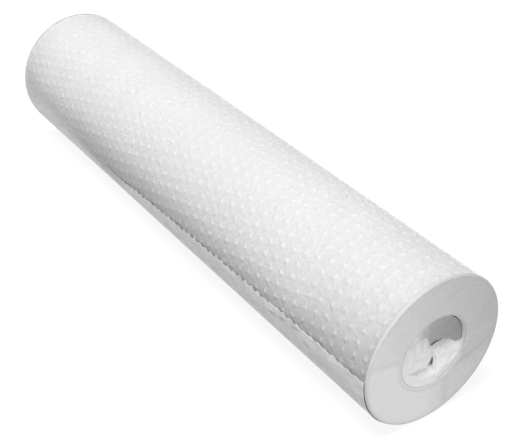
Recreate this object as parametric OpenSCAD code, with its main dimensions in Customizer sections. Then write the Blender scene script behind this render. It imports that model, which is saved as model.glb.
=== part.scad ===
// Film-wrapped roll of dot-embossed couch sheet, lying on its side.
// The roll's axis runs along X, with the gathered and tucked end of the film at +X.
// The film rests on Z = 0. The lap of the film, with its zigzag cut edge, is on the -Y side.
// All lengths are millimetres. Angles round the roll are counted from the top towards -Y.

/* [Paper] */
// Width of the paper web, which is the length of the roll
web_w = 500; // [300:5:700]
// Outer diameter of the wound paper
paper_d = 111.3; // [80:0.1:160]
// Drawn thickness of each outer sheet, with the loft of its embossing
sheet_t = 0.7; // [0.4:0.05:1.2]
// Gap between two drawn sheets
sheet_gap = 0.15; // [0.1:0.05:0.4]
// Width of the open line where one sheet ends and the next begins
tear_gap = 0.5; // [0.3:0.1:2]
// Where the tear line of the outermost sheet lies round the roll
tear_deg = 118; // [90:1:170]
// Turn of the tear line from one sheet to the next
tear_step_deg = 21; // [5:1:60]

/* [Core] */
// Bore of the paperboard core
core_bore_d = 52; // [30:0.5:76]
// Wall of the paperboard core
core_wall = 2; // [1:0.1:4]
// How far the core's wall is pressed in under the tucked film
core_relief = 0.8; // [0.3:0.1:1.2]
// How many strips of glue hold the first turn to the core
core_glue_strips = 2; // [1:1:4]

/* [Film] */
// Drawn thickness of the clear film
film_t = 0.35; // [0.2:0.05:0.8]
// Gap between the film and the paper
film_gap = 0.1; // [0.05:0.05:0.4]
// How far the soft roll settles into a flat under its own weight
settle = 0.45; // [0.3:0.05:1.5]
// Depth to which the film is tucked into the core
tuck_depth = 25; // [15:1:60]
// Thickness of the gathered film that lines the mouth of the core
hem_t = 1.2; // [0.6:0.1:2]
// Thickness of one pleat folded over the near end
pleat_t = 0.3; // [0.2:0.05:0.6]
// Radius of the open middle of the film at the far end
far_open_r = 43; // [28:1:54]

/* [Lap] */
// Where the lap is welded on, near the underside
lap_root_deg = 150; // [130:1:160]
// Clear space between the lap and the sleeve under it
lap_gap = 0.25; // [0.2:0.05:0.6]
// Pitch of the zigzag cut
tooth_pitch = 7.5; // [4:0.5:12]
// Depth of the zigzag cut
tooth_h = 1.4; // [0.4:0.1:3]
// Height of the cut edge above the axis at its near end, dip and far end
lap_near_z = 1.6; // [-10:0.1:20]
lap_dip_z = -13; // [-25:0.5:0]
lap_far_z = 13; // [-10:0.5:25]

/* [Hidden] */
$fn = 180;
paper_r = paper_d / 2;
sleeve_r0 = paper_r + film_gap;
sleeve_r = sleeve_r0 + film_t;
lap_r0 = sleeve_r + lap_gap;
lap_r = lap_r0 + film_t;
axis_z = sleeve_r - settle;
axis_y = (lap_r - sleeve_r) / 2;
half = web_w / 2;
bore_r = core_bore_d / 2;
core_r = bore_r + core_wall;
turn_r0 = core_r + 0.3;
turn_r = paper_r - 4 * (sheet_t + sheet_gap);
panel_x0 = half + 0.15;
panel_x = panel_x0 + film_t;
end_x = panel_x + 0.05 + pleat_t;
hem_r0 = bore_r - 0.5;
tuck_x0 = half - tuck_depth;
tuck_r = hem_r0 - 0.4;

// ---- helpers -------------------------------------------------------------

// Puts a shape that was built round the local z axis onto the roll's axis.
// Afterwards local x points down, local y points to +Y and local z points to +X.
module on_axis() translate([0, axis_y, axis_z]) rotate([0, 90, 0]) children();

// Puts a flat outline drawn as (towards -Y, up) across the roll, from x0 to x1.
module across(x0, x1) translate([x0, axis_y, axis_z]) rotate([90, 0, 0]) rotate([0, 90, 0])
    mirror([1, 0, 0]) linear_extrude(height = x1 - x0) children();

module tube(r0, r1, x0, x1) on_axis() translate([0, 0, x0]) difference() {
    cylinder(r = r1, h = x1 - x0);
    translate([0, 0, -1]) cylinder(r = r0, h = x1 - x0 + 2);
}

module rod(r, x0, x1) on_axis() translate([0, 0, x0]) cylinder(r = r, h = x1 - x0);

// Turns a profile of (radius, x) points round the roll's axis.
module turned(points) on_axis() rotate_extrude() polygon(points);

// Everything above a given height.
module above(z) translate([-web_w, -200, z]) cube([2 * web_w, 400, 400]);

// A thin slab that stands out from the axis at an angle round the roll.
module spoke(deg, width, x0, x1) translate([x0, axis_y, axis_z]) rotate([deg, 0, 0])
    translate([0, -width / 2, 0]) cube([x1 - x0, width, 80]);

// One sheet as a shell that stops at its tear line. place counts from the outside.
module sheet(place) {
    r1 = paper_r - place * (sheet_t + sheet_gap);
    difference() {
        tube(r1 - sheet_t, r1, -half, half);
        spoke(tear_deg + place * tear_step_deg, tear_gap, -half - 1, half + 1);
    }
}

// ---- paper ---------------------------------------------------------------

module core_tube() color([0.93, 0.93, 0.91]) difference() {
    tube(bore_r, core_r, -half, half);
    rod(bore_r + core_relief, tuck_x0, half + 1);
}

module core_glue() color([0.9, 0.88, 0.78]) for (i = [0 : core_glue_strips - 1])
    intersection() {
        tube(core_r + 0.05, core_r + 0.2, -half + 8, half - 8);
        spoke(i * 40 + 10, 6, -half + 8, half - 8);
    }

module inner_turns() color([0.97, 0.97, 0.965]) tube(turn_r0, turn_r, -half, half);

module sheet_fourth() color([0.965, 0.965, 0.96]) sheet(3);
module sheet_third() color([0.975, 0.975, 0.97]) sheet(2);
module sheet_second() color([0.965, 0.965, 0.96]) sheet(1);

module sheet_first() color([0.98, 0.98, 0.975]) intersection() {
    sheet(0);
    above(film_t + film_gap);
}

// Spots of glue that hold the tail of the outermost sheet down.
module tail_glue() color([0.9, 0.88, 0.8]) for (i = [0 : 5]) intersection() {
    tube(paper_r - sheet_t - 0.13, paper_r - sheet_t - 0.02, -half, half);
    spoke(tear_deg - 8, 5, -half + 35 + i * 80, -half + 65 + i * 80);
}

// ---- film round the roll -------------------------------------------------

module film_sleeve() color([0.93, 0.95, 0.96, 0.35]) difference() {
    intersection() {
        rod(sleeve_r, -half + 0.7, half - 0.7);
        above(0);
    }
    intersection() {
        rod(sleeve_r0, -half, half);
        above(film_t);
    }
}

// The strip where the lap is welded to the sleeve.
module lap_weld() color([0.88, 0.9, 0.92, 0.6]) intersection() {
    tube(sleeve_r + 0.04, sleeve_r + 0.3, -half + 6, half - 6);
    spoke(lap_root_deg + 4, 4.5, -half + 6, half - 6);
}

// Height of the cut edge above the axis, t running from 0 at the near end to 1 at the far end.
function lap_edge(t) =
    t < 0.58 ? lap_near_z + (lap_dip_z + 4 - lap_near_z) * pow(t / 0.58, 1.6)
    : t < 0.66 ? lap_dip_z + 4 - 4 * sin((t - 0.58) / 0.08 * 90)
    : lap_far_z + (lap_dip_z - lap_far_z) * pow((1 - t) / 0.34, 2);

lap_x1 = half - 4;
lap_x0 = -half + 3;
tooth_n = floor((lap_x1 - lap_x0) / tooth_pitch);
tooth_w = (lap_x1 - lap_x0) / tooth_n;
lap_root_z = lap_r * cos(lap_root_deg);
lap_outline = concat(
    [for (i = [0 : 2 * tooth_n])
        [lap_x1 - i * tooth_w / 2,
         lap_edge(i / (2 * tooth_n)) + (i % 2 == 0 ? 0.5 : -0.5) * tooth_h
            * (0.75 + 0.25 * sin(i * 77))]],
    [[lap_x0, lap_root_z - 3], [lap_x1, lap_root_z - 3]]);

module film_lap() color([0.95, 0.96, 0.97, 0.7]) difference() {
    intersection() {
        tube(lap_r0, lap_r, lap_x0, lap_x1);
        translate([0, axis_y - 0.5, axis_z]) rotate([90, 0, 0]) linear_extrude(height = 80)
            polygon(lap_outline);
    }
    // square end of the lap at its root
    translate([-web_w, axis_y, axis_z]) rotate([lap_root_deg, 0, 0])
        translate([0, -80, 0]) cube([2 * web_w, 80, 80]);
}

// ---- film over the near end ----------------------------------------------

// The film stretched over the near end, with its short turned edge.
module near_panel() color([0.94, 0.95, 0.96, 0.5]) intersection() {
    turned([[sleeve_r0, half - 0.6], [sleeve_r, half - 0.6], [sleeve_r, panel_x0],
            [sleeve_r - 0.1, panel_x - 0.1], [sleeve_r0, panel_x], [core_r + 0.4, panel_x],
            [core_r + 0.4, panel_x0], [sleeve_r0, panel_x0]]);
    above(0);
}

// A pleat lies flat on the panel. Its outline is drawn as (towards -Y, up).
module pleat(outline) intersection() {
    tube(core_r + 0.6, sleeve_r - 1.2, panel_x + 0.05, end_x);
    across(panel_x, end_x + 1) polygon(outline);
}

module near_pleat_wide() color([0.96, 0.97, 0.98, 0.6])
    pleat([[10, -4], [28, 6], [62, 23], [80, -80], [-10.5, -80], [-14.5, -26]]);

module near_pleat_side() color([0.93, 0.94, 0.95, 0.6])
    pleat([[-15.2, -26], [-11.2, -80], [-90, -80], [-62, -9], [-22, -21], [-12, -12]]);

// The gathered film that turns over the mouth and lines it.
module near_hem() color([0.95, 0.96, 0.97, 0.7])
    turned([[hem_r0, tuck_x0 + 0.5], [hem_r0 + hem_t, tuck_x0 + 0.5],
            [hem_r0 + hem_t, half + 0.04],
            [core_r + 0.3, panel_x0], [core_r + 0.3, panel_x], [hem_r0 + hem_t, panel_x],
            [hem_r0 + 0.3, half - 0.4], [hem_r0, half - 1.6]]);

// ---- tucked end of the film ----------------------------------------------

// One fold of the tucked film: an outline inside the hem, cut by a sloping plane.
// tilt_y and tilt_z are the plane's slopes in degrees and top is where it meets the axis.
module fold(outline, x0, top, tilt_y, tilt_z) difference() {
    intersection() {
        rod(tuck_r, x0, half - 0.3);
        across(x0 - 1, half + 1) polygon(outline);
    }
    translate([top, axis_y, axis_z]) rotate([0, tilt_y, 0]) rotate([0, 0, tilt_z])
        translate([0, -60, -60]) cube([80, 120, 120]);
}

// The bunched end, deepest in the core. A way past it stays open at the upper right.
module tuck_bunch() color([0.94, 0.95, 0.96]) difference() {
    rod(tuck_r - 0.6, tuck_x0 + 1, tuck_x0 + 8);
    across(tuck_x0, tuck_x0 + 9) polygon([[9, 40], [5, 9], [-2, 1], [-12, -5], [-40, -2], [-40, 40]]);
}

fold_x0 = tuck_x0 + 8.4;

module tuck_fold_upper() color([0.97, 0.975, 0.98])
    fold([[40, 3.4], [2.8, -1.8], [-4.6, -1.5], [-0.5, 2.2], [6, 9], [9.7, 15.2], [16, 40], [40, 40]],
         fold_x0, half - 5.4, 0, 11);

module tuck_fold_middle() color([0.96, 0.965, 0.975])
    fold([[40, 2.9], [2.6, -2.3], [-5.3, -2.1], [-6.9, -4.9], [-8.4, -12], [-5.1, -14.2],
          [5.5, -12.5], [40, -2.4]], fold_x0, half - 5, 0, 9.5);

module tuck_fold_lower() color([0.96, 0.965, 0.97])
    fold([[40, -2.9], [5.6, -13], [-5, -14.8], [-8, -21.9], [-10, -40], [40, -40]],
         fold_x0, half - 7, -13, 10.4);

module tuck_fold_side() color([0.975, 0.98, 0.985])
    fold([[-7.3, -5.4], [-8.9, -12.1], [-5.6, -14.8], [-8.6, -21.9], [-10.6, -40], [-40, -40],
          [-40, -1.5], [-24.3, -2.4], [-11.1, -5.2]], fold_x0, half - 8.2, -7.6, -12.5);

// ---- film over the far end -----------------------------------------------

// The film shrunk over the edge of the far end, which leaves the middle open.
module far_hem() color([0.94, 0.95, 0.96, 0.6]) intersection() {
    turned([[sleeve_r0, -half + 0.6], [sleeve_r0, -half - 0.15], [far_open_r, -half - 0.15],
            [far_open_r - 0.4, -half - 0.5], [far_open_r + 0.6, -end_x], [far_open_r + 4, -end_x],
            [sleeve_r - 1.5, -end_x], [sleeve_r - 0.4, -end_x + 0.25],
            [sleeve_r, -half - 0.15], [sleeve_r, -half + 0.6]]);
    above(0);
}

// ---- pick one node or all ------------------------------------------------

core_tube();
core_glue();
inner_turns();
sheet_fourth();
sheet_third();
sheet_second();
sheet_first();
tail_glue();
film_sleeve();
lap_weld();
film_lap();
near_panel();
near_pleat_wide();
near_pleat_side();
near_hem();
tuck_bunch();
tuck_fold_upper();
tuck_fold_middle();
tuck_fold_lower();
tuck_fold_side();
far_hem();
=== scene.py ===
"""Looks of a film-wrapped roll of dot-embossed couch sheet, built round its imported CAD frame.

The roll lies along X with the tucked end of its film at +X. Angles round the roll are
counted from the top towards -Y, and places on the end are (towards -Y, up) from the axis.
"""

import logging
import math
from collections.abc import Callable
from dataclasses import dataclass, field
from enum import Enum
from typing import Any

import bmesh
import bpy
import numpy as np
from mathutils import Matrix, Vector

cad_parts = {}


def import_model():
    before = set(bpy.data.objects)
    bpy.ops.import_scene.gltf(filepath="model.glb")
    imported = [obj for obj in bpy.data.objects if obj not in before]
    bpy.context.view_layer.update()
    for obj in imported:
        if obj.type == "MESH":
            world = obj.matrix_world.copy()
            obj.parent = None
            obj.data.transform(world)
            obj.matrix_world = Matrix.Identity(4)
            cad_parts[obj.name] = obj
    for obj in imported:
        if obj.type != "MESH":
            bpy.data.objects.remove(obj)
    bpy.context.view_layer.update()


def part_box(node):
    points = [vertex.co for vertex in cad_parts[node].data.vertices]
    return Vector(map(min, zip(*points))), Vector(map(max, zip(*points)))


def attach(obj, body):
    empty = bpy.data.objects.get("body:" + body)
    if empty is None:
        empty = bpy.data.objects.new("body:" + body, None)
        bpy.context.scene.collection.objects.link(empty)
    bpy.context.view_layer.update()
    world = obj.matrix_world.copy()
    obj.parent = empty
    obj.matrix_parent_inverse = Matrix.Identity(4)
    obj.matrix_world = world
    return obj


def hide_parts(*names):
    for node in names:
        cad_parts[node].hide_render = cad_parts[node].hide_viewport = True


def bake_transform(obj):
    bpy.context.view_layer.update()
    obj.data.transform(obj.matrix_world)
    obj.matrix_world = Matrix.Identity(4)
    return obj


LOG = logging.getLogger("couch_roll")
MM = 0.001
TURN = 2 * math.pi
# height of the roll's axis that the finishes are laid out round, in metres
CENTRE_Z = 0.0557


# ---- shader graphs --------------------------------------------------------


class Wire:
    """One output socket of a shader graph, with arithmetic that adds Math nodes."""

    def __init__(self, graph: "Graph", socket: bpy.types.NodeSocket) -> None:
        """Keep the graph and the socket.

        Args:
            graph: the graph that new nodes go into.
            socket: the output socket that this wire starts from.
        """
        self.graph = graph
        self.socket = socket

    def _math(self, operation: str, first: Any, second: Any = None) -> "Wire":
        """Add one Math node.

        Args:
            operation: the Math node's operation.
            first: its first value, a wire or a number.
            second: its second value, or None.

        Returns:
            The wire from the new node.
        """
        values = {0: first} if second is None else {0: first, 1: second}
        return self.graph.add("ShaderNodeMath", {"operation": operation}, values)

    def __add__(self, other: Any) -> "Wire":
        """Sum."""
        return self._math("ADD", self, other)

    __radd__ = __add__

    def __mul__(self, other: Any) -> "Wire":
        """Product."""
        return self._math("MULTIPLY", self, other)

    __rmul__ = __mul__

    def __sub__(self, other: Any) -> "Wire":
        """Difference."""
        return self._math("SUBTRACT", self, other)

    def __rsub__(self, other: Any) -> "Wire":
        """Difference with this wire taken away."""
        return self._math("SUBTRACT", other, self)

    def __truediv__(self, other: Any) -> "Wire":
        """Quotient."""
        return self._math("DIVIDE", self, other)

    def __pow__(self, other: Any) -> "Wire":
        """Power."""
        return self._math("POWER", self, other)

    def fraction(self) -> "Wire":
        """The part after the decimal point."""
        return self._math("FRACT", self)

    def sine(self) -> "Wire":
        """Sine, of radians."""
        return self._math("SINE", self)

    def least(self, other: Any) -> "Wire":
        """The smaller of the two."""
        return self._math("MINIMUM", self, other)

    def most(self, other: Any) -> "Wire":
        """The larger of the two."""
        return self._math("MAXIMUM", self, other)


class Graph:
    """A material's node graph, built from Python expressions."""

    def __init__(self, name: str) -> None:
        """Start an empty material.

        Args:
            name: the material's name.
        """
        self.material = bpy.data.materials.new(name)
        self.material.use_nodes = True
        self.tree = self.material.node_tree
        self.tree.nodes.clear()

    def add(self, kind: str, settings: dict[str, Any] | None = None,
            inputs: dict[Any, Any] | None = None, output: Any = 0) -> Wire:
        """Add one node of any type.

        Args:
            kind: the node's type.
            settings: its properties, set before its sockets; "stops" fills a colour ramp.
            inputs: socket name or number to a wire or a plain value.
            output: name or number of the output that the wire starts from.

        Returns:
            The wire from the chosen output.
        """
        node = self.tree.nodes.new(kind)
        for key, value in (settings or {}).items():
            if key == "stops":
                self._fill_ramp(node.color_ramp, value)
            else:
                setattr(node, key, value)
        for key, value in (inputs or {}).items():
            if isinstance(value, Wire):
                self.tree.links.new(value.socket, node.inputs[key])
            else:
                node.inputs[key].default_value = value
        return Wire(self, node.outputs[output])

    @staticmethod
    def _fill_ramp(ramp: bpy.types.ColorRamp, stops: list[tuple[float, float]]) -> None:
        """Set a ramp's stops.

        Args:
            ramp: the colour ramp.
            stops: (place, grey level) pairs in rising order.
        """
        while len(ramp.elements) < len(stops):
            ramp.elements.new(0.5)
        for element, (place, grey) in zip(ramp.elements, stops, strict=True):
            element.position = place
            element.color = (grey, grey, grey, 1)

    def place(self) -> Wire:
        """The point in the row frame, in metres."""
        return self.add("ShaderNodeTexCoord", output="Object")

    def split(self, vector: Wire) -> tuple[Wire, Wire, Wire]:
        """The three numbers of a vector.

        Args:
            vector: the vector's wire.

        Returns:
            Its x, y and z.
        """
        first = self.add("ShaderNodeSeparateXYZ", inputs={0: vector})
        node = first.socket.node
        return first, Wire(self, node.outputs[1]), Wire(self, node.outputs[2])

    def noise(self, scale: float, detail: float = 2.0,
              stretch: tuple[float, float, float] = (1, 1, 1)) -> Wire:
        """Soft noise over the surface.

        Args:
            scale: blobs per metre.
            detail: how many finer octaves go on top.
            stretch: factor on the scale along X, Y and Z.

        Returns:
            A value round 0.5.
        """
        where = self.place()
        if stretch != (1, 1, 1):
            where = self.add("ShaderNodeVectorMath", {"operation": "MULTIPLY"}, {0: where, 1: stretch})
        return self.add("ShaderNodeTexNoise", {}, {"Vector": where, "Scale": scale, "Detail": detail})

    def ramp(self, value: Wire, stops: list[tuple[float, float]]) -> Wire:
        """A grey ramp over a value."""
        return self.add("ShaderNodeValToRGB", {"stops": stops}, {"Fac": value})

    def tint(self, factor: Wire, low: Any, high: Any) -> Wire:
        """Blend two colours.

        Args:
            factor: 0 gives low and 1 gives high.
            low: first colour, three numbers or a wire.
            high: second colour, three numbers or a wire.

        Returns:
            The colour's wire.
        """
        ends = [c if isinstance(c, Wire) else (*c, 1) for c in (low, high)]
        return self.add("ShaderNodeMix", {"data_type": "RGBA", "clamp_factor": True},
                        {0: factor, 6: ends[0], 7: ends[1]}, output=2)

    def mark(self, name: str) -> Wire:
        """A value kept at each corner of the mesh, 0 where there is none."""
        return self.add("ShaderNodeAttribute", {"attribute_name": name}, output="Fac")

    def bump(self, height: Wire, depth_mm: float, strength: float = 1.0) -> Wire:
        """Fine relief.

        Args:
            height: value from 0 to 1.
            depth_mm: height of 1 in millimetres.
            strength: share of the effect.

        Returns:
            The normal's wire.
        """
        return self.add("ShaderNodeBump", {},
                        {"Height": height, "Distance": depth_mm * MM, "Strength": strength})

    def surface(self, inputs: dict[str, Any]) -> Wire:
        """A Principled shader with these sockets."""
        return self.add("ShaderNodeBsdfPrincipled", {}, inputs)

    def finish(self, shader: Wire) -> bpy.types.Material:
        """Join the shader to the output.

        Args:
            shader: the shader's wire.

        Returns:
            The finished material.
        """
        output = self.tree.nodes.new("ShaderNodeOutputMaterial")
        self.tree.links.new(shader.socket, output.inputs["Surface"])
        return self.material


# ---- finishes -------------------------------------------------------------

Colour = tuple[float, float, float]


@dataclass(frozen=True)
class EmbossedPaper:
    """Soft white two-ply paper with pressed dots."""

    name: str = "embossed_paper"
    low: Colour = (0.60, 0.60, 0.60)
    high: Colour = (0.92, 0.92, 0.918)
    roughness: float = 0.85

    def make(self) -> bpy.types.Material:
        """Build the material: crepe grain, faint clouding, a painted highlight on the dot tops, darker
        towards both ends and painted shade along the lower side.
        """
        g = Graph(self.name)
        grain = g.noise(1500, 3.0, (1, 1.6, 1.6))
        cloud = g.noise(28, 2.0)
        lift = g.mark("lift")
        crepe = g.noise(520, 3.0, (1, 0.7, 0.7))
        x, _, z = g.split(g.place())
        # darker towards both ends of the roll
        ends = g.ramp(x * 2 + 0.5, [(0.0, 0.6), (0.08, 0.0), (0.84, 0.0), (0.97, 0.7), (1.0, 1.0)])
        # painted shade: the lower side is painted darker still near the ends
        side = g.ramp(z * 8, [(0.0, 1.0), (0.5, 1.0), (0.85, 0.0)])
        # painted shade: a darker band along the side at and below the axis height
        painted_shade_band = g.ramp(z * 8, [(0.0, 1.0), (0.46, 1.0), (0.6, 0.0)])
        # painted highlight: the dot tops are painted paler, standing in for the film's gloss on the bumps
        shade = ((cloud - 0.5) * 0.2 + (grain - 0.5) * 0.36 + (crepe - 0.5) * 0.45 + 0.4 + lift * 0.26
                 - ends * (side * 0.5 + 0.16) - painted_shade_band * 0.28)
        normal = g.bump(grain * 0.4 + crepe * 1.0, 0.75)
        return g.finish(g.surface({
            "Base Color": g.tint(shade, self.low, self.high),
            "Roughness": self.roughness - lift * 0.25,
            "Normal": normal,
        }))


@dataclass(frozen=True)
class WoundEdge:
    """Cut edges of the wound web, seen as fine rings."""

    axis_y: float
    axis_z: float
    name: str = "wound_edge"
    low: Colour = (0.70, 0.70, 0.69)
    high: Colour = (0.90, 0.90, 0.89)

    def make(self) -> bpy.types.Material:
        """Build the material: rings about the roll's axis, broken up by soft noise."""
        g = Graph(self.name)
        _, y, z = g.split(g.place())
        y, z = y - self.axis_y, z - self.axis_z
        radius = (y * y + z * z) ** 0.5
        soft = g.noise(160, 2.0)
        rings = ((radius / MM + soft * 0.5) * 5.2).sine() * 0.5 + 0.5
        turns = ((radius / MM + soft * 0.4) * 1.35).sine() * 0.5 + 0.5
        shade = rings * 0.55 + turns * 0.25 + g.noise(900, 2.0) * 0.3
        return g.finish(g.surface({
            "Base Color": g.tint(shade, self.low, self.high),
            "Roughness": 0.95 - rings * 0.05,
            "Normal": g.bump(rings * 0.6 + turns * 0.5, 0.25),
        }))


@dataclass(frozen=True)
class CoreBoard:
    """White-lined grey paperboard, wound on a slant."""

    name: str = "core_board"
    low: Colour = (0.50, 0.49, 0.47)
    high: Colour = (0.66, 0.65, 0.63)

    def make(self) -> bpy.types.Material:
        """Build the material: fibres and the slanting seam of the board strip."""
        g = Graph(self.name)
        x, y, z = g.split(g.place())
        fibre = g.noise(1100, 4.0, (0.4, 1, 1))
        around = g.add("ShaderNodeMath", {"operation": "ARCTAN2"}, {0: y, 1: z - CENTRE_Z})
        strip = (x * 11.0 + around / TURN).fraction()
        seam = g.ramp(strip, [(0.0, 0.0), (0.03, 1.0), (0.97, 1.0), (1.0, 0.0)])
        return g.finish(g.surface({
            "Base Color": g.tint(fibre * 0.7 + seam * 0.3, self.low, self.high),
            "Roughness": 0.9 - fibre * 0.1,
            "Normal": g.bump(fibre * 0.5 + seam * 0.5, 0.12),
        }))


@dataclass(frozen=True)
class Glue:
    """Dried white glue."""

    name: str = "dried_glue"

    def make(self) -> bpy.types.Material:
        """Build the material: yellowish, slightly lumpy and half gloss."""
        g = Graph(self.name)
        lumps = g.noise(700, 2.0)
        return g.finish(g.surface({
            "Base Color": g.tint(lumps, (0.72, 0.68, 0.55), (0.86, 0.83, 0.72)),
            "Roughness": 0.45 + lumps * 0.2,
            "Normal": g.bump(lumps, 0.2),
        }))


@dataclass(frozen=True)
class ClearFilm:
    """Thin clear film: what is behind shows through, with gloss on top."""

    name: str = "clear_film"
    veil: float = 0.05
    gloss: float = 0.6
    roughness: float = 0.18

    def make(self) -> bpy.types.Material:
        """Build the material: a faint veil and a glossy layer mixed over clear, with painted glints where
        the film is pinched.
        """
        g = Graph(self.name)
        pull = g.noise(60, 2.0, (0.25, 1, 1))
        crease = g.noise(240, 3.0, (0.35, 1, 1))
        edge = g.add("ShaderNodeLayerWeight", {}, {"Blend": 0.5}, output="Facing") ** 5
        # painted glint: the film turns whiter and more opaque along the pinched creases
        cover = edge * self.gloss + self.veil + (pull - 0.5) * 0.06 + g.mark("pinch") * 0.45
        skin = g.surface({
            "Base Color": (0.93, 0.93, 0.935, 1),
            "Roughness": self.roughness + crease * 0.1,
            "Normal": g.bump(crease, 0.12, 0.6),
        })
        clear = g.add("ShaderNodeBsdfTransparent", {}, {"Color": (0.99, 0.99, 0.99, 1)})
        cover = cover.most(0.0).least(1.0)
        return g.finish(g.add("ShaderNodeMixShader", {}, {0: cover, 1: clear, 2: skin}))


@dataclass(frozen=True)
class MilkyFilm:
    """Film that looks milky where it lies in layers or is crumpled."""

    name: str
    low: Colour
    high: Colour
    cover: float = 1.0
    roughness: float = 0.38
    grain: float = 180.0
    depth_mm: float = 0.25

    def make(self) -> bpy.types.Material:
        """Build the material: soft creases, cloudy tone, even cover and painted shade along pinched creases.
        """
        g = Graph(self.name)
        crease = g.noise(self.grain, 3.0, (0.6, 1, 1))
        cloud = g.noise(self.grain * 0.3, 2.0)
        tone = g.tint(cloud * 0.6 + crease * 0.8 - 0.2 + g.mark("pale") * 0.4, self.low, self.high)
        inputs: dict[str, Any] = {
            # painted shade: dark grey along the marked creases
            "Base Color": g.tint(g.mark("slit") * 0.8, tone, (0.3, 0.302, 0.305)),
            "Roughness": self.roughness + crease * 0.15,
            "Normal": g.bump(crease, self.depth_mm, 0.7),
        }
        if self.cover < 1:
            inputs["Alpha"] = (((cloud - 0.5) * 0.25 + self.cover) * (1 - g.mark("thin") * 0.7)).least(1.0)
        return g.finish(g.surface(inputs))


@dataclass(frozen=True)
class EndFilm:
    """Film over the near end, with painted shade that darkens it towards +Y and a little towards the top."""

    axis_y: float
    reach: float
    name: str = "end_film"
    low: Colour = (0.50, 0.505, 0.51)
    high: Colour = (0.80, 0.805, 0.81)
    gain: float = 0.0
    uneven: float = 1.0

    def make(self) -> bpy.types.Material:
        """Build the material: a slow painted shade across the end, under soft creases, and painted shade in
        the marked grooves.
        """
        g = Graph(self.name)
        _, y, z = g.split(g.place())
        # painted shade: the tone falls towards +Y and a little upwards
        across = (self.axis_y + self.reach - y - (z - CENTRE_Z) * 0.3) / (2 * self.reach)
        crease = g.noise(110, 3.0, (1, 1, 1))
        fine = g.noise(480, 3.0)
        rough = (crease - 0.5) * (0.3 * self.uneven) + (fine - 0.5) * (0.55 * self.uneven)
        tone = across + rough + (1 - g.mark("fade")) * self.gain
        # painted shade: dark grey in the marked grooves, along pleat edges and round the rim corner
        shaded = g.tint(g.mark("valley") * 0.55, g.tint(tone, self.low, self.high), (0.42, 0.425, 0.43))
        return g.finish(g.surface({
            "Base Color": shaded,
            "Roughness": 0.4 + crease * 0.15,
            "Normal": g.bump(crease * 0.6 + fine * 0.7, 0.35, 0.8),
        }))


@dataclass(frozen=True)
class PaleFloor:
    """Plain pale floor."""

    name: str = "pale_floor"

    def make(self) -> bpy.types.Material:
        """Build the material."""
        g = Graph(self.name)
        soft = g.noise(2.0, 1.0)
        return g.finish(g.surface({
            "Base Color": g.tint(soft, (0.15, 0.15, 0.15), (0.17, 0.17, 0.17)),
            "Roughness": 0.9,
            "Emission Color": (1, 1, 1, 1),
            "Emission Strength": 0.86,
        }))


# ---- meshes ---------------------------------------------------------------


def smooth(low: float, high: float, value: Any) -> Any:
    """Rise from 0 at low to 1 at high with soft ends.

    Args:
        low: where the rise starts.
        high: where it ends.
        value: a number or an array.

    Returns:
        The same shape as value.
    """
    t = np.clip((np.asarray(value, float) - low) / (high - low), 0, 1)
    return t * t * (3 - 2 * t)


def waves(seed: int, count: int, shortest: float, longest: float) -> Callable[[Any, Any], Any]:
    """Make a gentle random relief out of a few plane waves.

    Args:
        seed: picks the waves.
        count: how many.
        shortest: least wavelength.
        longest: greatest wavelength.

    Returns:
        A function of two coordinates that gives values of about -1 to 1.
    """
    rng = np.random.default_rng(seed)
    turn = rng.uniform(0, TURN, count)
    length = np.exp(rng.uniform(math.log(shortest), math.log(longest), count))
    phase = rng.uniform(0, TURN, count)
    weight = np.sqrt(length / longest)

    def relief(u: Any, v: Any) -> Any:
        """Sum the waves at (u, v)."""
        total = 0.0
        for t, size, p, w in zip(turn, length, phase, weight, strict=True):
            total = total + w * np.sin(TURN * (u * math.cos(t) + v * math.sin(t)) / size + p)
        return total / math.sqrt(float((weight**2).sum()))

    return relief


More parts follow.
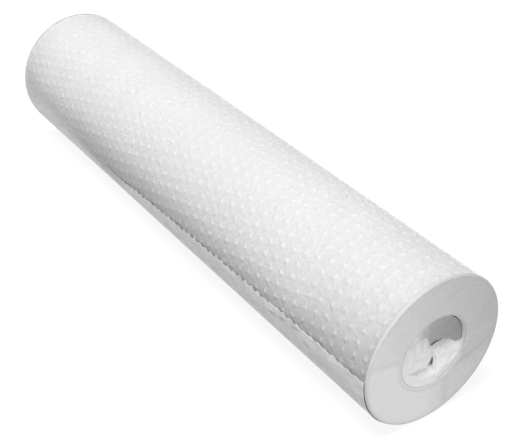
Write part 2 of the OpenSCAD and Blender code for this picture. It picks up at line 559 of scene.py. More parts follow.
@dataclass
class Sheeting:
    """Makes mesh objects out of grids of points."""

    name: str

    def _object(self, points: np.ndarray, faces: np.ndarray) -> bpy.types.Object:
        """Make an object from points and four-cornered faces.

        Args:
            points: n by 3, in metres.
            faces: m by 4 indices.

        Returns:
            The new object, shaded smooth.
        """
        mesh = bpy.data.meshes.new(self.name)
        mesh.vertices.add(len(points))
        mesh.vertices.foreach_set("co", points.astype(np.float32).ravel())
        mesh.loops.add(len(faces) * 4)
        mesh.loops.foreach_set("vertex_index", faces.astype(np.int32).ravel())
        mesh.polygons.add(len(faces))
        mesh.polygons.foreach_set("loop_start", np.arange(0, len(faces) * 4, 4, dtype=np.int32))
        mesh.polygons.foreach_set("use_smooth", np.ones(len(faces), bool))
        mesh.update(calc_edges=True)
        mesh.validate()
        made = bpy.data.objects.new(self.name, mesh)
        bpy.context.scene.collection.objects.link(made)
        return made

    @staticmethod
    def _cells(rows: int, cols: int, round_rows: bool, round_cols: bool) -> np.ndarray:
        """Corner indices of every cell of a grid of points.

        Args:
            rows: points along the first side.
            cols: points along the second side.
            round_rows: join the last row to the first.
            round_cols: join the last column to the first.

        Returns:
            One row of four indices for each cell.
        """
        i = np.arange(rows if round_rows else rows - 1)
        j = np.arange(cols if round_cols else cols - 1)
        i, j = (a.ravel() for a in np.meshgrid(i, j, indexing="ij"))
        i1, j1 = (i + 1) % rows, (j + 1) % cols
        return np.stack([i * cols + j, i1 * cols + j, i1 * cols + j1, i * cols + j1], axis=1)

    def skin(self, grid: np.ndarray, round_rows: bool = False,
             round_cols: bool = False) -> bpy.types.Object:
        """Make an open surface.

        Args:
            grid: rows by columns by 3 points, in metres.
            round_rows: the last row joins the first.
            round_cols: the last column joins the first.

        Returns:
            The object.
        """
        rows, cols = grid.shape[:2]
        return self._object(grid.reshape(-1, 3), self._cells(rows, cols, round_rows, round_cols))

    def shell(self, outer: np.ndarray, inner: np.ndarray, round_cols: bool = False) -> bpy.types.Object:
        """Make a closed thin shell between two matching surfaces.

        Args:
            outer: rows by columns by 3 points.
            inner: the same number of points, behind the outer ones.
            round_cols: the last column joins the first.

        Returns:
            The object.
        """
        rows, cols = outer.shape[:2]
        n = rows * cols
        front = self._cells(rows, cols, False, round_cols)
        parts = [front, front[:, ::-1] + n]
        j = np.arange(cols if round_cols else cols - 1)
        j1 = (j + 1) % cols
        last = (rows - 1) * cols
        parts.append(np.stack([j + n, j, j1, j1 + n], axis=1))
        parts.append(np.stack([last + j + n, last + j, last + j1, last + j1 + n], axis=1)[:, ::-1])
        if not round_cols:
            i = np.arange(rows - 1) * cols
            parts.append(np.stack([i + n, i, i + cols, i + cols + n], axis=1)[:, ::-1])
            k = i + cols - 1
            parts.append(np.stack([k + n, k, k + cols, k + cols + n], axis=1))
        points = np.concatenate([outer.reshape(-1, 3), inner.reshape(-1, 3)])
        return self._object(points, np.concatenate(parts))


@dataclass
class RollAxis:
    """Where the roll lies, read from the CAD nodes."""

    y: float = 0.0
    z: float = 0.0
    half: float = 0.25
    paper_r: float = 0.05565
    sleeve_r: float = 0.0561
    core_r: float = 0.028
    hem_r: float = 0.0255
    panel_x: float = 0.2505

    @classmethod
    def read(cls) -> "RollAxis":
        """Measure the CAD nodes' boxes.

        Returns:
            The filled axis.
        """
        low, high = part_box("core_tube")
        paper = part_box("sheet_second")
        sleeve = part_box("film_sleeve")
        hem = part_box("near_hem")
        core_r, sleeve_r = (high.y - low.y) / 2, (sleeve[1].y - sleeve[0].y) / 2
        first_sheet = 0.85 * MM
        hem_inside_core = 2.5 * MM
        return cls(
            y=(low.y + high.y) / 2, z=sleeve[1].z - sleeve_r, half=high.x,
            paper_r=(paper[1].y - paper[0].y) / 2 + first_sheet,
            sleeve_r=sleeve_r, core_r=core_r, hem_r=core_r - hem_inside_core, panel_x=hem[1].x,
        )

    def round(self, x: Any, angle: Any, radius: Any) -> np.ndarray:
        """Points round the roll.

        Args:
            x: place along the roll.
            angle: radians from the top towards -Y.
            radius: distance from the axis.

        Returns:
            Points with the last side of length 3.
        """
        x, angle, radius = np.broadcast_arrays(x, angle, radius)
        return np.stack([x, self.y - radius * np.sin(angle), self.z + radius * np.cos(angle)], axis=-1)

    def end(self, left: Any, up: Any, x: Any) -> np.ndarray:
        """Points on or in the near end.

        Args:
            left: distance from the axis towards -Y.
            up: height above the axis.
            x: place along the roll.

        Returns:
            Points with the last side of length 3.
        """
        left, up, x = np.broadcast_arrays(left, up, x)
        return np.stack([x, self.y - left, self.z + up], axis=-1)


def settled(grid: np.ndarray, height: float = 0.02 * MM) -> np.ndarray:
    """Flatten a grid where the roll lies on the floor.

    Args:
        grid: points with the last side of length 3; it is changed.
        height: the least height above the floor.

    Returns:
        The same grid.
    """
    grid[..., 2] = np.maximum(grid[..., 2], height)
    return grid


def ring_grid(rows: int, spokes: int) -> tuple[np.ndarray, np.ndarray]:
    """Lay out a grid that closes on itself round the roll.

    Args:
        rows: points from the grid's first edge to its last.
        spokes: points round the roll.

    Returns:
        The share of the way from the first edge, 0 to 1, and the angle, at each point.
    """
    share, angle = np.linspace(0, 1, rows), np.linspace(0, TURN, spokes + 1)[:-1]
    return tuple(np.meshgrid(share, angle, indexing="ij"))


def close_middle(piece: bpy.types.Object) -> None:
    """Join the points that lie on one another, which closes a grid round its middle.

    Args:
        piece: the object.
    """
    work = bmesh.new()
    work.from_mesh(piece.data)
    bmesh.ops.remove_doubles(work, verts=work.verts, dist=1e-7)
    work.to_mesh(piece.data)
    work.free()


def keep_marks(piece: bpy.types.Object, **marks: np.ndarray) -> None:
    """Keep named values at the corners of a mesh for its finish.

    Args:
        piece: the object, a skin or a shell.
        **marks: one value for each point of its grid; a shell gets them on both sides.
    """
    count = len(piece.data.vertices)
    for name, values in marks.items():
        flat = np.asarray(values, np.float32).ravel()
        kept = piece.data.attributes.new(name, "FLOAT", "POINT")
        kept.data.foreach_set("value", np.tile(flat, count // len(flat)))


def dress(piece: bpy.types.Object, material: bpy.types.Material) -> None:
    """Give a piece one material.

    Args:
        piece: the object.
        material: its finish.
    """
    piece.data.materials.clear()
    piece.data.materials.append(material)


# ---- the paper ------------------------------------------------------------


@dataclass
class PaperRoll:
    """Core, wound web and the embossed sheet on the outside."""

    axis: RollAxis
    dots_along: int = 49
    dots_round: int = 39
    row_shift: float = 1 / 3
    dot_h: float = 0.78 * MM
    dot_r: float = 2.15 * MM
    settle_z: float = 0.5 * MM
    made: list[str] = field(default_factory=list)

    def build(self) -> None:
        """Make the embossed sheet and the far edge, and dress the CAD nodes."""
        self._embossed_sheet()
        self._far_edge()
        self._dress_nodes()

    def _embossed_sheet(self) -> None:
        """Lay a skewed grid with extra lines at each dot, and press the dots."""
        a = self.axis
        pitch_x = 2 * a.half / self.dots_along
        pitch_a = TURN / self.dots_round
        cell_x = np.array([-0.5, -0.21, -0.14, -0.07, 0.0, 0.07, 0.14, 0.21])
        cell_a = np.array([-0.5, -0.24, -0.12, 0.0, 0.12, 0.24])
        col = np.append((np.arange(self.dots_along)[:, None] + cell_x).ravel(), self.dots_along - 0.5) + 0.5
        row = (np.arange(self.dots_round)[:, None] + cell_a).ravel()
        c, r = np.meshgrid(col, row, indexing="ij")
        x = a.half - c * pitch_x
        angle = (r + (c - 0.5) * self.row_shift) * pitch_a
        across = (c - np.floor(c) - 0.5) * pitch_x
        # the dots keep to their own columns, so the slant inside a cell is taken out
        slant = (c - np.floor(c) - 0.5) * self.row_shift
        around = (r + slant - np.round(r + slant)) * pitch_a * a.paper_r
        rng = np.random.default_rng(7)
        dot = (np.floor(c).astype(int), np.mod(np.round(r + slant).astype(int), self.dots_round))
        draws = rng.uniform(0, 1, (3, self.dots_along + 2, self.dots_round + 2))
        own, aside, ahead = (table[dot] for table in draws)
        own = 0.7 + 0.4 * own
        stray = 0.5 * MM
        far = np.sqrt((across + (aside - 0.5) * stray) ** 2 + (around + (ahead - 0.5) * stray) ** 2)
        lift = np.clip(1 - (far / self.dot_r) ** 2, 0, 1) ** 1.5
        soft = waves(3, 9, 0.03, 0.16)(x, angle * a.paper_r)
        radius = a.paper_r - 0.68 * MM + lift * own * self.dot_h + soft * 0.03 * MM
        # the edges of the web turn in a little at both ends
        radius = radius - 0.5 * MM * (1 - smooth(0, 1.6 * MM, a.half - np.abs(x)))
        grid = settled(a.round(x, angle, radius), self.settle_z)
        sheet = Sheeting("embossed_sheet").skin(grid, round_cols=True)
        keep_marks(sheet, lift=lift * own)
        dress(sheet, EmbossedPaper().make())
        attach(sheet, "roll")
        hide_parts("sheet_first")
        self.made.append(sheet.name)

    def _far_edge(self) -> None:
        """Raise the cut edges of the web at the far end, turn by turn."""
        a = self.axis
        r = np.arange(a.core_r + 0.4 * MM, a.paper_r - 0.7 * MM, 0.45 * MM)
        rr, tt = np.meshgrid(r, np.linspace(0, TURN, 181)[:-1], indexing="ij")
        turn_step = 1.8 * MM
        spiral = np.sin(TURN * (rr / turn_step + tt / TURN))
        step = waves(11, 8, 0.006, 0.03)(rr * np.cos(tt), rr * np.sin(tt))
        x = -a.half - (0.16 + 0.06 * spiral + 0.05 * step) * MM
        edge = Sheeting("far_web_edge").skin(a.round(x, -tt, rr), round_cols=True)
        dress(edge, WoundEdge(a.y, a.z).make())
        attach(edge, "roll")
        self.made.append(edge.name)

    def _dress_nodes(self) -> None:
        """Give the CAD nodes of core, glue and inner web their finishes."""
        edge = WoundEdge(self.axis.y, self.axis.z, name="inner_web").make()
        board, glue = CoreBoard().make(), Glue().make()
        for node in ("inner_turns", "sheet_second", "sheet_third", "sheet_fourth"):
            dress(bpy.data.objects[node], edge)
        dress(bpy.data.objects["core_tube"], board)
        for node in ("core_glue", "tail_glue"):
            dress(bpy.data.objects[node], glue)


# ---- the film -------------------------------------------------------------


@dataclass(frozen=True)
class Crease:
    """A short pinched crease in film round the roll.

    The sizes are in millimetres and degrees: from the near end, round from the top,
    the length, and the turn from the roll's own direction.
    """

    from_end: float
    angle: float
    length: float
    turn: float
    width: float = 1.1

    def on(self, axis: RollAxis, x: np.ndarray, t: np.ndarray) -> np.ndarray:
        """How sharply the film is pinched at each point, 0 to 1.

        Args:
            axis: the roll.
            x: place along the roll.
            t: radians round it.

        Returns:
            One value for each point.
        """
        u = (axis.half - x) / MM - self.from_end
        v = (np.mod(t - math.radians(self.angle) + math.pi, TURN) - math.pi) * axis.sleeve_r / MM
        c, s = math.cos(math.radians(self.turn)), math.sin(math.radians(self.turn))
        along, across = u * c + v * s, v * c - u * s
        return np.exp(-(across / self.width) ** 2) * smooth(self.length / 2, self.length / 4, np.abs(along))


@dataclass
class FilmWrap:
    """Clear film round the side, its weld and the shrunk ring at the far end."""

    axis: RollAxis
    creases: tuple[Crease, ...] = (
        Crease(14, -31, 16, 35, 0.8), Crease(112, -16, 8, -25, 0.7), Crease(290, 6, 7, 60, 0.7),
        Crease(298, 16, 6, 20, 0.7), Crease(401, 42, 12, 15, 2.2), Crease(46, 4, 6, -40, 0.7),
        Crease(455, 3, 9, 30, 0.8), Crease(205, 52, 7, -15, 0.7), Crease(345, 30, 10, -8, 0.7),
    )
    made: list[str] = field(default_factory=list)

    def build(self) -> None:
        """Make the sleeve and the far ring, and dress the weld."""
        self._sleeve()
        self._far_ring()
        dress(bpy.data.objects["lap_weld"], MilkyFilm(
            "weld_film", (0.78, 0.79, 0.80), (0.88, 0.885, 0.89), 0.8, 0.3, 400, 0.3).make())

    def _sleeve(self) -> None:
        """Stretch the film over the dots, with small puckers running along the roll."""
        a = self.axis
        x = np.linspace(-a.half + 0.7 * MM, a.half - 1.4 * MM, 378)
        t = np.linspace(0, TURN, 261)[:-1]
        xx, tt = np.meshgrid(x, t, indexing="ij")
        arc = tt * a.sleeve_r
        pull = waves(21, 14, 0.008, 0.05)(xx * 0.35, arc) * 0.06 * MM
        near_end = 1 - smooth(0, 25 * MM, a.half - np.abs(xx))
        ruck = waves(22, 10, 0.004, 0.012)(xx * 0.2, arc) * 0.11 * MM * near_end
        radius = a.sleeve_r - 0.14 * MM + pull + ruck
        # the creases are pinched up a little and also painted bright as glints in the film's finish
        pinch = sum(crease.on(a, xx, tt) for crease in self.creases)
        radius = radius + pinch * 0.1 * MM
        grid = settled(a.round(xx, tt, radius))
        sleeve = Sheeting("film_sleeve_skin").skin(grid[::-1], round_cols=True)
        keep_marks(sleeve, pinch=pinch[::-1])
        dress(sleeve, ClearFilm().make())
        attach(sleeve, "roll")
        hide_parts("film_sleeve")
        self.made.append(sleeve.name)

    def _far_ring(self) -> None:
        """Gather the film over the far edge, with creases that fan out from the open middle."""
        a = self.axis
        ss, tt = ring_grid(26, 360)
        inner = 43.2 * MM
        radius = a.sleeve_r - 0.25 * MM - (a.sleeve_r - inner) * smooth(0.12, 1, ss)
        radius = radius + waves(31, 6, 0.5, 3.0)(tt, ss * 0) * 0.5 * MM * smooth(0.5, 1, ss)
        fan = np.sin(46 * tt + 2.2 * np.sin(5 * tt)) * smooth(0.15, 1, ss)
        x = -a.half + 0.6 * MM - 1.12 * MM * smooth(0.0, 0.2, ss) - fan * 0.16 * MM
        ring = Sheeting("far_film_ring").skin(settled(a.round(x, tt, radius)), round_cols=True)
        film = MilkyFilm("gathered_film", (0.76, 0.765, 0.77), (0.9, 0.905, 0.91), 0.62, 0.28, 260, 0.2)
        dress(ring, film.make())
        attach(ring, "roll")
        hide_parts("far_hem")
        self.made.append(ring.name)


@dataclass
class Lap:
    """The loose lap of film with its zigzag cut edge."""

    axis: RollAxis
    root_deg: float = 150.0
    rise_r: float = 0.43 * MM
    thickness: float = 0.16 * MM
    tooth: float = 7.5 * MM
    tooth_h: float = 2.6 * MM
    near_z: float = 1.6
    dip_z: float = -13.0
    far_z: float = 13.0
    creases: tuple[Crease, ...] = (
        Crease(72, 93, 11, 8, 0.8), Crease(86, 95, 9, 12, 0.8), Crease(97, 97.5, 10, 14, 0.8),
        Crease(60, 99, 8, -6, 0.8), Crease(170, 106, 12, 10, 0.9), Crease(300, 112, 14, -8, 0.9),
    )
    made: list[str] = field(default_factory=list)

    def _edge_line(self, t: np.ndarray) -> np.ndarray:
        """Height of the cut edge above the axis.

        Args:
            t: 0 at the near end to 1 at the far end.

        Returns:
            Heights in metres.
        """
        dip = self.dip_z
        first = self.near_z + (dip + 4 - self.near_z) * (np.clip(t, 0, 0.58) / 0.58) ** 1.6
        turn = dip + 4 - 4 * np.sin(np.clip((t - 0.58) / 0.08, 0, 1) * math.pi / 2)
        last = self.far_z + (dip - self.far_z) * (np.clip(1 - t, 0, 0.34) / 0.34) ** 2
        return np.where(t < 0.58, first, np.where(t < 0.66, turn, last)) * MM

    def _cut_edge(self, length: float) -> tuple[np.ndarray, np.ndarray]:
        """Walk along the zigzag cut, whose teeth fade out towards the far end.

        Args:
            length: how long the lap is.

        Returns:
            The share of the length from the near end, and the angle from the top, at each point.
        """
        teeth = math.floor(length / self.tooth)
        steps = 8
        i = np.arange(teeth * steps + 1) / (steps / 2)
        t = i / (2 * teeth)
        zig = np.where(i % 2 <= 1, 1 - 2 * (i % 2), 2 * (i % 2) - 3)
        uneven = 0.45 + 0.75 * np.abs(np.sin(np.round(i) * 1.9)) * smooth(0.0, 0.25, t)
        torn = np.interp(t, np.linspace(0, 1, 160), np.random.default_rng(5).uniform(-0.5, 0.5, 160)) * MM
        clear = 1 - smooth(0.6, 0.7, t)
        height = self._edge_line(t) + (0.5 * zig * self.tooth_h * uneven + torn) * clear
        return t, np.arccos(np.clip(height / (self.axis.sleeve_r + self.rise_r), -1, 1))

    def build(self) -> None:
        """Make the lap from its root up to the cut edge."""
        a = self.axis
        x1, x0 = a.half - 1.6 * MM, -a.half + 3 * MM
        t, edge_a = self._cut_edge(x1 - x0)
        ss, ea = np.meshgrid(np.linspace(0, 1, 44), edge_a, indexing="ij")
        along = np.broadcast_to(t, ss.shape)
        xx = x1 - along * (x1 - x0)
        root = math.radians(self.root_deg)
        angle = root + (ea - root) * ss
        wave = waves(41, 12, 0.01, 0.07)(xx * 0.5, angle * a.sleeve_r)
        lift = 0.05 * MM * wave + 0.03 * MM * smooth(0.93, 1, ss) * (1 + np.sin(xx * 190))
        cling = smooth(0.6, 0.72, along) * smooth(0.35, 0.7, ss)
        radius = a.sleeve_r + self.rise_r * (1 - 0.5 * cling) + lift * smooth(0, 0.2, ss) * (1 - 0.8 * cling)
        pinches = [crease.on(a, xx, angle) for crease in self.creases]
        radius = radius + 0.4 * MM * sum(pinches)
        outer = a.round(xx, angle, radius)
        inner = a.round(xx, angle, radius - self.thickness)
        lap = Sheeting("lap_skin").shell(outer, inner)
        thin = np.maximum(1.25 * cling * smooth(0.6, 1.0, ss), 0.5 * smooth(0.97, 1.0, ss))
        # the first four creases of the lap are painted dark as their shade
        keep_marks(lap, thin=thin, pale=smooth(0.4, 0.8, along), slit=np.clip(sum(pinches[:4]), 0, 1))
        film = MilkyFilm("lap_film", (0.72, 0.723, 0.727), (1.0, 1.0, 1.0), 0.95, 0.3, 380, 1.2)
        dress(lap, film.make())
        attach(lap, "lap")
        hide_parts("film_lap")
        wide = float((root - edge_a.mean()) * a.sleeve_r)
        self.made.append(lap.name)


class PleatSide(Enum):
    """Which of the two flat pleats on the near end."""

    WIDE = "near_pleat_wide"
    SIDE = "near_pleat_side"


@dataclass
class NearEnd:
    """Film stretched over the near end, with its pleats and its turned-in mouth."""

    axis: RollAxis
    corner_r: float = 1.5 * MM
    lip_r: float = 1.4 * MM
    valley_half: float = 3.4 * MM
    made: list[str] = field(default_factory=list)

    def build(self) -> None:
        """Make the panel, both pleats and the hem in the mouth."""
        self._panel()
        self._pleat(PleatSide.WIDE, (78.0, 80.0), (206.0, 194.5))
        self._pleat(PleatSide.SIDE, (207.0, 196.0), (229.0, 263.0))
        self._hem()

    def _panel(self) -> None:
        """Stretch the film from the rim to the mouth, with shallow radial pulls."""
        a = self.axis
        ss, tt = ring_grid(48, 288)
        rim = a.sleeve_r - 0.1 * MM
        mouth = a.core_r + 0.35 * MM
        # a tenth of the rows turn over the rim and a tenth curl into the mouth
        turn = np.clip(ss / 0.1, 0, 1) * math.pi / 2
        flat = np.clip((ss - 0.1) / 0.8, 0, 1)
        curl = np.clip((ss - 0.9) / 0.1, 0, 1) * math.radians(62)
        corner = self.corner_r
        radius = np.where(ss < 0.1, rim - corner + corner * np.cos(turn),
                          rim - corner - (rim - corner - mouth) * flat)
        radius = np.where(ss > 0.9, mouth - self.lip_r * np.sin(curl), radius)
        x = np.where(ss < 0.1, a.panel_x - corner + corner * np.sin(turn),
                     a.panel_x - self.lip_r * (1 - np.cos(curl)))
        fan = waves(51, 9, 0.35, 1.6)(tt, ss * 0)
        x = x - 0.05 * MM - 0.05 * MM * fan * smooth(0.12, 0.6, ss) * smooth(0.9, 0.75, ss)
        # a soft groove runs from the mouth to the rim beside the side pleat, painted darker as shade
        lane = np.radians(229 + 34 * np.clip((radius - mouth) / (rim - mouth), 0, 1))
        off = (tt - lane) * radius
        valley = np.exp(-(off / self.valley_half) ** 2) * (0.45 + 0.5 * ss)
        valley = valley * smooth(0.9, 0.76, ss) * smooth(0.1, 0.25, ss)
        # a fainter painted shade streak runs beside the wide pleat's first edge
        beside = (tt - math.radians(77.5)) * radius
        streak_shade = np.exp(-(beside / (1.8 * MM)) ** 2) * smooth(0.95, 0.7, ss) * 0.25
        x = x - 0.3 * MM * valley
        grid = settled(a.round(x, tt, radius))
        panel = Sheeting("near_film_panel").skin(grid[::-1], round_cols=True)
        # the groove, the streak and the corner by the rim are painted darker as shade
        keep_marks(panel, valley=(valley * 0.8 + streak_shade + 0.75 * smooth(0.16, 0.04, ss))[::-1])
        dress(panel, EndFilm(a.y, a.sleeve_r).make())
        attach(panel, "roll")
        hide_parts("near_panel")
        self.made.append(panel.name)

    def _pleat(self, side: PleatSide, start_deg: tuple[float, float],
               stop_deg: tuple[float, float]) -> None:
        """Lay one pleat flat on the panel, its edges sunk into it.

        Args:
            side: which pleat.
            start_deg: where it starts round the end, at the mouth and at the rim.
            stop_deg: where it stops, at the mouth and at the rim.
        """
        a = self.axis
        wide = side is PleatSide.WIDE
        ss, uu = np.meshgrid(np.linspace(0, 1, 40), np.linspace(0, 1, 90), indexing="ij")
        low, high = a.core_r + 0.7 * MM, a.sleeve_r - 1.5 * MM
        radius = low + (high - low) * ss
        first = start_deg[0] + (start_deg[1] - start_deg[0]) * ss
        last = stop_deg[0] + (stop_deg[1] - stop_deg[0]) * ss
        angle = np.radians(first + (last - first) * uu)
        width = np.radians(last - first) * radius
        to_first, to_last = uu * width, (1 - uu) * width
        from_edge = np.minimum(uu, 1 - uu) * width
        from_rim = np.minimum(ss, 1 - ss) * 26 * MM
        sunk = 0.26 * MM * (1 - np.minimum(smooth(0, 6 * MM, from_edge), smooth(0, 4 * MM, from_rim)))
        ripple = waves(61 if wide else 62, 7, 0.012, 0.05)(radius * np.cos(angle), radius * np.sin(angle))
        x = a.panel_x + (0.12 + 0.03 * ripple) * MM - sunk
        if wide:
            fade = np.maximum(1 - smooth(0, 9 * MM, to_first), 0.55 * smooth(22 * MM, 0, to_last))
            # painted shade: a thin dark line along the wide pleat's last edge
            valley = np.exp(-(to_last / (0.7 * MM)) ** 2) * (1 - 0.6 * ss)
        else:
            hollow = np.exp(-(to_last / self.valley_half) ** 2)
            x = x - 0.2 * MM * hollow * smooth(0, 0.2, ss)
            fade = smooth(14 * MM, 1 * MM, to_last)
            # painted shade in the hollow by the side pleat's last edge
            valley = hollow * (0.85 - 0.4 * ss)
        outer = a.round(x, angle, radius)
        inner = a.round(x - 0.12 * MM, angle, radius)
        pleat = Sheeting(side.value + "_skin").shell(outer, inner)
        keep_marks(pleat, fade=fade, valley=valley)
        dress(pleat, EndFilm(a.y, a.sleeve_r, side.value + "_film", gain=0.34 if wide else 0.16).make())
        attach(pleat, "roll")
        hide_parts(side.value)
        self.made.append(pleat.name)

    def _hem(self) -> None:
        """Turn the film over the mouth and down the bore in soft gathers."""
        a = self.axis
        ss, tt = ring_grid(44, 240)
        lip = 3.2 * MM
        turn = np.clip(ss / 0.2, 0, 1) * math.pi / 2
        down = np.clip((ss - 0.2) / 0.8, 0, 1) * 22 * MM
        outer = a.core_r + 0.3 * MM
        inner = a.hem_r + 0.35 * MM
        radius = inner + (outer - inner) * (1 - np.sin(turn))
        behind_panel = 0.25 * MM
        x = np.where(ss < 0.2, a.panel_x - lip * (1 - np.cos(turn)), a.panel_x - lip - down) - behind_panel
        gather = np.sin(19 * tt + 1.8 * np.sin(3 * tt)) * 0.35 + waves(71, 6, 0.25, 1.2)(tt, ss * 0.3)
        radius = radius - np.maximum(gather, -0.6) * 0.35 * MM * smooth(0.25, 0.7, ss)
        hem = Sheeting("near_hem_skin").skin(a.round(x, tt, radius)[::-1], round_cols=True)
        film = EndFilm(a.y, a.sleeve_r, "mouth_film", (0.55, 0.555, 0.56), (0.86, 0.865, 0.87))
        dress(hem, film.make())
        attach(hem, "roll")
        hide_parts("near_hem")
        self.made.append(hem.name)


@dataclass(frozen=True)
class FoldShape:
    """One fold of the tucked film.

    The outline is in millimetres, (towards -Y, up). Where it runs past reach it is drawn in
    to that radius, so far corners such as 40 only say that the fold goes out to the wall. The
    top is a plane of depths behind the end, depth + slope_left * left + slope_up * up, that
    never comes nearer than least. gully is the share of the gully inside the lower lip, and
    swell is how far the fold stands out at its fullest place. The seed picks its crumples.
    """

    node: str
    outline: tuple[tuple[float, float], ...]
    depth: float
    slope_left: float
    slope_up: float
    least: float
    seed: int
    reach: float
    gully: float = 0.0
    swell: float = 0.0


@dataclass
class Tuck:
    """The bunched end of the film, tucked into the mouth of the core."""

    axis: RollAxis
    folds: tuple[FoldShape, ...] = (
        FoldShape(
            "tuck_fold_upper",
            ((40, 3.0), (2.8, -4.4), (-4.0, -4.0), (-4.5, 0.5), (-1, 8), (5, 16), (14, 40), (40, 40)),
            depth=6.2, slope_left=-0.25, slope_up=0.34, least=0.9, seed=81, reach=26.8, swell=1.6),
        FoldShape(
            "tuck_fold_middle",
            ((40, 8.0), (2.6, -0.3), (-4.6, -1.6), (-6.3, -5.9), (-7.0, -12.6), (-4.1, -15.2),
             (5.5, -14.5), (40, -8.4)),
            depth=5.2, slope_left=-0.16, slope_up=0.05, least=0.7, seed=82, reach=26.4),
        FoldShape(
            "tuck_fold_lower",
            ((40, 0.5), (6.6, -10.5), (-0.4, -13.8), (-4.6, -16.0), (-8.5, -23.9), (-11, -40), (40, -40)),
            depth=2.3, slope_left=-0.02, slope_up=0.0, least=0.8, seed=83, reach=26.6, gully=1.0),
        FoldShape(
            "tuck_fold_side",
            ((-3.2, -5.0), (-6.0, -12.4), (-4.2, -16.4), (-4.6, -23.9), (-6.6, -40), (-40, -40),
             (-40, -1.5), (-24.3, -2.4), (-9.1, -2.6)),
            depth=8.4, slope_left=0.1, slope_up=0.38, least=0.35, seed=84, reach=28.0),
    )
    deepest: float = 16.2
    middle: tuple[float, float] = (-8.5, -9.0)
    made: list[str] = field(default_factory=list)

    def build(self) -> None:
        """Make each fold, the bunch behind them and the film that joins them to the hem."""
        a = self.axis
        film = EndFilm(a.y, a.sleeve_r, "tucked_film", high=(0.86, 0.865, 0.87), gain=0.45).make()
        for shape in self.folds:
            self._fold(shape, film)
        self._bunch(film)
        # painted shade: the slack film is painted dark, as it lies deep in the bore
        self._web(EndFilm(a.y, a.sleeve_r, "slack_film", (0.12, 0.122, 0.124), (0.86, 0.862, 0.865),
                          0.5, 0.25).make())

    def _rim(self, shape: FoldShape, count: int) -> tuple[np.ndarray, np.ndarray]:
        """Outline of a fold inside the mouth, walked evenly, and its middle.

        Args:
            shape: the fold.
            count: how many points.

        Returns:
            The points, count by 2, and the middle, both in millimetres.
        """
        corners = np.array(shape.outline, float)
        dense = np.concatenate([np.linspace(p, q, 60, endpoint=False)
                                for p, q in zip(corners, np.roll(corners, -1, axis=0), strict=True)])
        far = np.linalg.norm(dense, axis=1)
        dense = dense * np.minimum(1, shape.reach / np.maximum(far, 1e-6))[:, None]
        step = np.linalg.norm(np.roll(dense, -1, axis=0) - dense, axis=1)
        dense = dense[step > 1e-4]
        step = np.linalg.norm(np.roll(dense, -1, axis=0) - dense, axis=1)
        walk = np.concatenate([[0], np.cumsum(step)])
        closed = np.concatenate([dense, dense[:1]])
        at = np.linspace(0, walk[-1], count, endpoint=False)
        rim = np.stack([np.interp(at, walk, closed[:, k]) for k in (0, 1)], axis=1)
        for _ in range(5):
            rim = 0.5 * rim + 0.25 * (np.roll(rim, 1, axis=0) + np.roll(rim, -1, axis=0))
        area = rim[:, 0] * np.roll(rim[:, 1], -1) - np.roll(rim[:, 0], -1) * rim[:, 1]
        if area.sum() > 0:
            rim, area = rim[::-1], np.roll(area[::-1], -1) * -1
        middle = ((rim + np.roll(rim, -1, axis=0)) * area[:, None]).sum(0) / (3 * area.sum())
        return rim, middle

    def _gully(self, amount: float, left: Any, up: Any) -> Any:
        """Depth of the gully that runs inside the lower lip.

        Args:
            amount: 0 for none, 1 for all of it.
            left: millimetres towards -Y.
            up: millimetres up.

        Returns:
            How much deeper the film lies there, in millimetres.
        """
        far = np.hypot(left, up)
        edge = 25.2 - 4.2 * smooth(0.2, 0.85, -up / np.maximum(far, 1e-6))
        dip, rise = smooth(edge, edge - 3.2, far), smooth(edge - 5.0, edge - 10.0, far)
        return amount * (-1.2 + 5.6 * dip - 2.6 * rise)

    def _fold(self, shape: FoldShape, film: bpy.types.Material) -> None:
        """Make one fold: a soft pillow of film whose edges dive into the creases.

        Args:
            shape: the fold.
            film: its finish.
        """
        a = self.axis
        rim, middle = self._rim(shape, 150)
        top, shoulder = np.linspace(0.0, 0.8, 22), 0.8 + 0.2 * np.sin(np.linspace(0.1, math.pi / 2, 12))
        skirt = np.array([1.0, 3.0, 6.0, 10.0])
        share = np.concatenate([top, shoulder, np.ones(len(skirt))])[:, None]
        drop = np.concatenate([np.zeros(len(top) + len(shoulder)), skirt])[:, None]
        at_wall = smooth(shape.reach - 3.0, shape.reach - 0.5, np.linalg.norm(rim, axis=1))[None]
        # away from the wall the skirt slants back under its own fold
        under = np.array([-0.75, -0.9])
        spot = middle + (rim[None] - middle) * share[..., None] + under * (drop * (1 - at_wall))[..., None]
        far = np.linalg.norm(spot, axis=2)
        spot = spot * np.minimum(1, shape.reach / np.maximum(far, 1e-6))[..., None]
        left, up = spot[..., 0], spot[..., 1]
        base = shape.depth + shape.slope_left * left + shape.slope_up * up
        base = base + self._gully(shape.gully, left, up)
        crumple = waves(shape.seed, 12, 5, 22)(left, up)
        ridge = 1 - np.abs(waves(shape.seed + 20, 4, 9, 20)(left, up))
        base = base - shape.swell * np.exp(-(((left - 16.5) / 4.5) ** 2 + ((up - 8) / 3) ** 2))
        # the rim dives into the creases, deepest by the knot where they meet
        knot = np.exp(-(((left + 5.5) / 5) ** 2 + ((up + 12) / 5) ** 2))
        dive = (2.0 + 0.6 * knot) * smooth(0.72, 1.0, share) ** 1.8 * (1 - at_wall)
        base = base + dive - 0.35 * crumple - 0.6 * ridge * smooth(1.0, 0.55, share)
        flush = smooth(0.5, 1.0, share) * at_wall
        depth = np.maximum(base * (1 - flush) + shape.least * flush, shape.least) + drop
        grid = a.end(left * MM, up * MM, a.half - np.minimum(depth, self.deepest) * MM)
        fold = Sheeting(shape.node + "_skin").skin(grid, round_cols=True)
        keep_marks(fold, fade=flush * (0.95 if shape.reach > 27 else 0.3))
        close_middle(fold)
        dress(fold, film)
        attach(fold, "tuck")
        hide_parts(shape.node)
        self.made.append(fold.name)

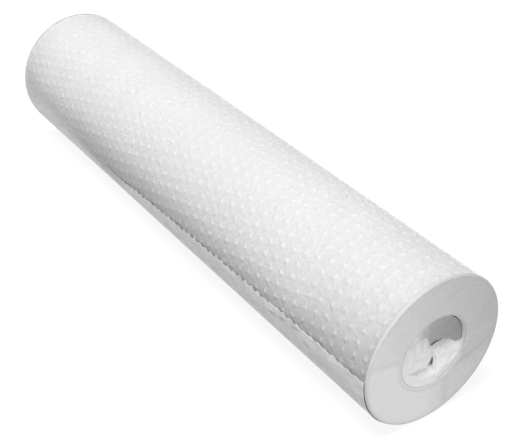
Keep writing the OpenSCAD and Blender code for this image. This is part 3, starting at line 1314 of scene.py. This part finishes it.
    def _bunch(self, film: bpy.types.Material) -> None:
        """Make the deep bunch: a crumpled cushion of film with a way past it.

        Args:
            film: its finish.
        """
        a = self.axis
        across = 120
        t = np.radians(np.linspace(80, 355, across))
        ss, tt = np.meshgrid(np.linspace(0, 1, 34), t, indexing="ij")
        radius = 2 + 11 * ss
        left, up = radius * np.sin(tt), radius * np.cos(tt)
        to_edge = np.abs(np.linspace(-1, 1, across))[None]
        depth = 19.6 + 1.6 * waves(91, 10, 6, 24)(left, up) + 4.5 * smooth(0.8, 1, to_edge)
        grid = a.end(left * MM, up * MM, a.half - np.clip(depth, 16.8, 23.5) * MM)
        bunch = Sheeting("tuck_bunch_skin").skin(grid)
        dress(bunch, film)
        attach(bunch, "tuck")
        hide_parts("tuck_bunch")
        self.made.append(bunch.name)

    def _web(self, film: bpy.types.Material) -> None:
        """Join the hem to the bunch with slack film.

        Args:
            film: its finish.
        """
        a = self.axis
        ss, tt = ring_grid(40, 180)
        pucker = np.sin(15 * tt + 1.7 * np.sin(4 * tt)) * 0.6 + np.sin(31 * tt + 2 * np.sin(3 * tt)) * 0.25
        rim = a.hem_r / MM - 0.1
        left = rim * np.sin(tt) * (1 - ss) + self.middle[0] * ss
        up = rim * np.cos(tt) * (1 - ss) + self.middle[1] * ss
        fall = 7.4 * np.sin(ss * math.pi / 2) ** 0.9
        depth = 2.4 + fall + pucker * 0.7 * np.sin(np.clip(ss * 1.2, 0, 1) * math.pi)
        grid = a.end(left * MM, up * MM, a.half - depth * MM)
        web = Sheeting("tuck_web_skin").skin(grid[::-1], round_cols=True)
        # painted shade: the web is painted lighter towards -Y and darkest towards +Y, deep in the bore
        keep_marks(web, fade=(1 - smooth(-2, 20, left))[::-1])
        dress(web, film)
        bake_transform(web)
        self.made.append(web.name)


# ---- studio ---------------------------------------------------------------


@dataclass
class Studio:
    """Pale floor, white backdrop, soft lights and the camera."""

    axis: RollAxis
    lens: float = 71.54
    away: Vector = field(default_factory=lambda: Vector((6.023, -6.572, 7.570)))
    forward: Vector = field(default_factory=lambda: Vector((-0.6854, 0.4712, -0.5551)))
    backdrop_r: float = 5.9

    def build(self) -> None:
        """Make floor, backdrop, world, lights and camera."""
        self._floor()
        self._backdrop()
        self._world()
        self._sun("key", (0.02, -0.26, 0.97), 2.8, 28.0)
        self._panel_light("fill", (2.4, -0.4, 0.35), 0.8, 20.0)
        self._camera()

    def _floor(self) -> None:
        """Lay the floor."""
        size = np.linspace(-6, 6, 5)
        x, y = np.meshgrid(size, size, indexing="ij")
        floor = Sheeting("floor").skin(np.stack([x, y, x * 0 - 0.0001], axis=-1))
        dress(floor, PaleFloor().make())
        floor.visible_diffuse = False

    def _world(self) -> None:
        """Light everything evenly from far away."""
        scene = bpy.context.scene
        world = bpy.data.worlds.new("studio")
        scene.world = world
        world.use_nodes = True
        nodes = world.node_tree.nodes
        back = nodes.get("Background") or nodes.new("ShaderNodeBackground")
        back.inputs["Color"].default_value = (1, 1, 1, 1)
        back.inputs["Strength"].default_value = 0.36
        scene.view_settings.view_transform = "Standard"
        scene.view_settings.look = "None"

    def _backdrop(self) -> None:
        """Stand an even white dome far round the floor; it lights nothing."""
        turn, rise = np.meshgrid(np.linspace(0, TURN, 65)[:-1], np.linspace(-0.05, 1.5, 24), indexing="ij")
        ball = np.stack([np.cos(rise) * np.cos(turn), np.cos(rise) * np.sin(turn), np.sin(rise)], axis=-1)
        dome = Sheeting("backdrop").skin(self.backdrop_r * ball, round_rows=True)
        graph = Graph("white_backdrop")
        glow = graph.add("ShaderNodeEmission", {}, {"Color": (1, 1, 1, 1), "Strength": 1.0})
        dress(dome, graph.finish(glow))
        dome.visible_diffuse = dome.visible_shadow = dome.visible_glossy = False

    def _sun(self, name: str, towards: tuple[float, float, float], strength: float,
             spread_deg: float) -> None:
        """Add a soft light from far away.

        Args:
            name: the light's name.
            towards: direction from the roll to the light.
            strength: how bright it is.
            spread_deg: how wide it looks from the roll.
        """
        data = bpy.data.lights.new(name, "SUN")
        data.energy, data.angle = strength, math.radians(spread_deg)
        self._stand(data, Vector(towards) * 2, -Vector(towards))

    def _panel_light(self, name: str, place: tuple[float, float, float], size: float, power: float) -> None:
        """Hang one square soft light that looks at the roll.

        Args:
            name: the light's name.
            place: where it hangs.
            size: its side.
            power: watts.
        """
        data = bpy.data.lights.new(name, "AREA")
        data.shape, data.size, data.energy = "SQUARE", size, power
        self._stand(data, Vector(place), Vector((0, self.axis.y, self.axis.z)) - Vector(place))

    def _camera(self) -> None:
        """Stand the camera above and to the left of the near end."""
        data = bpy.data.cameras.new("camera")
        data.lens, data.sensor_width = self.lens, 36.0
        data.clip_start, data.clip_end = 0.05, 50.0
        near = Vector((self.axis.half, self.axis.y, self.axis.z))
        place = near + self.away * self.axis.sleeve_r
        bpy.context.scene.camera = self._stand(data, place, self.forward)

    @staticmethod
    def _stand(data: bpy.types.ID, place: Vector, aim: Vector) -> bpy.types.Object:
        """Put a light or the camera in the scene.

        Args:
            data: the light or the camera; the object takes its name.
            place: where it stands.
            aim: the direction that it looks in.

        Returns:
            The new object.
        """
        stood = bpy.data.objects.new(data.name, data)
        bpy.context.scene.collection.objects.link(stood)
        stood.location = place
        stood.rotation_mode = "QUATERNION"
        stood.rotation_quaternion = aim.to_track_quat("-Z", "Y")
        return stood


def main() -> None:
    """Build every sub-assembly in order and report its pieces."""
    logging.basicConfig(level=logging.INFO, format="%(name)s: %(message)s")
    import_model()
    axis = RollAxis.read()
    LOG.info("axis %s", axis)
    for part in (PaperRoll(axis), FilmWrap(axis), Lap(axis), NearEnd(axis), Tuck(axis)):
        part.build()
        for piece in part.made:
            faces = len(bpy.data.objects[piece].data.polygons)
            LOG.info("%s: %s, %d faces", type(part).__name__, piece, faces)
    Studio(axis).build()


if __name__ == "__main__":
    main()
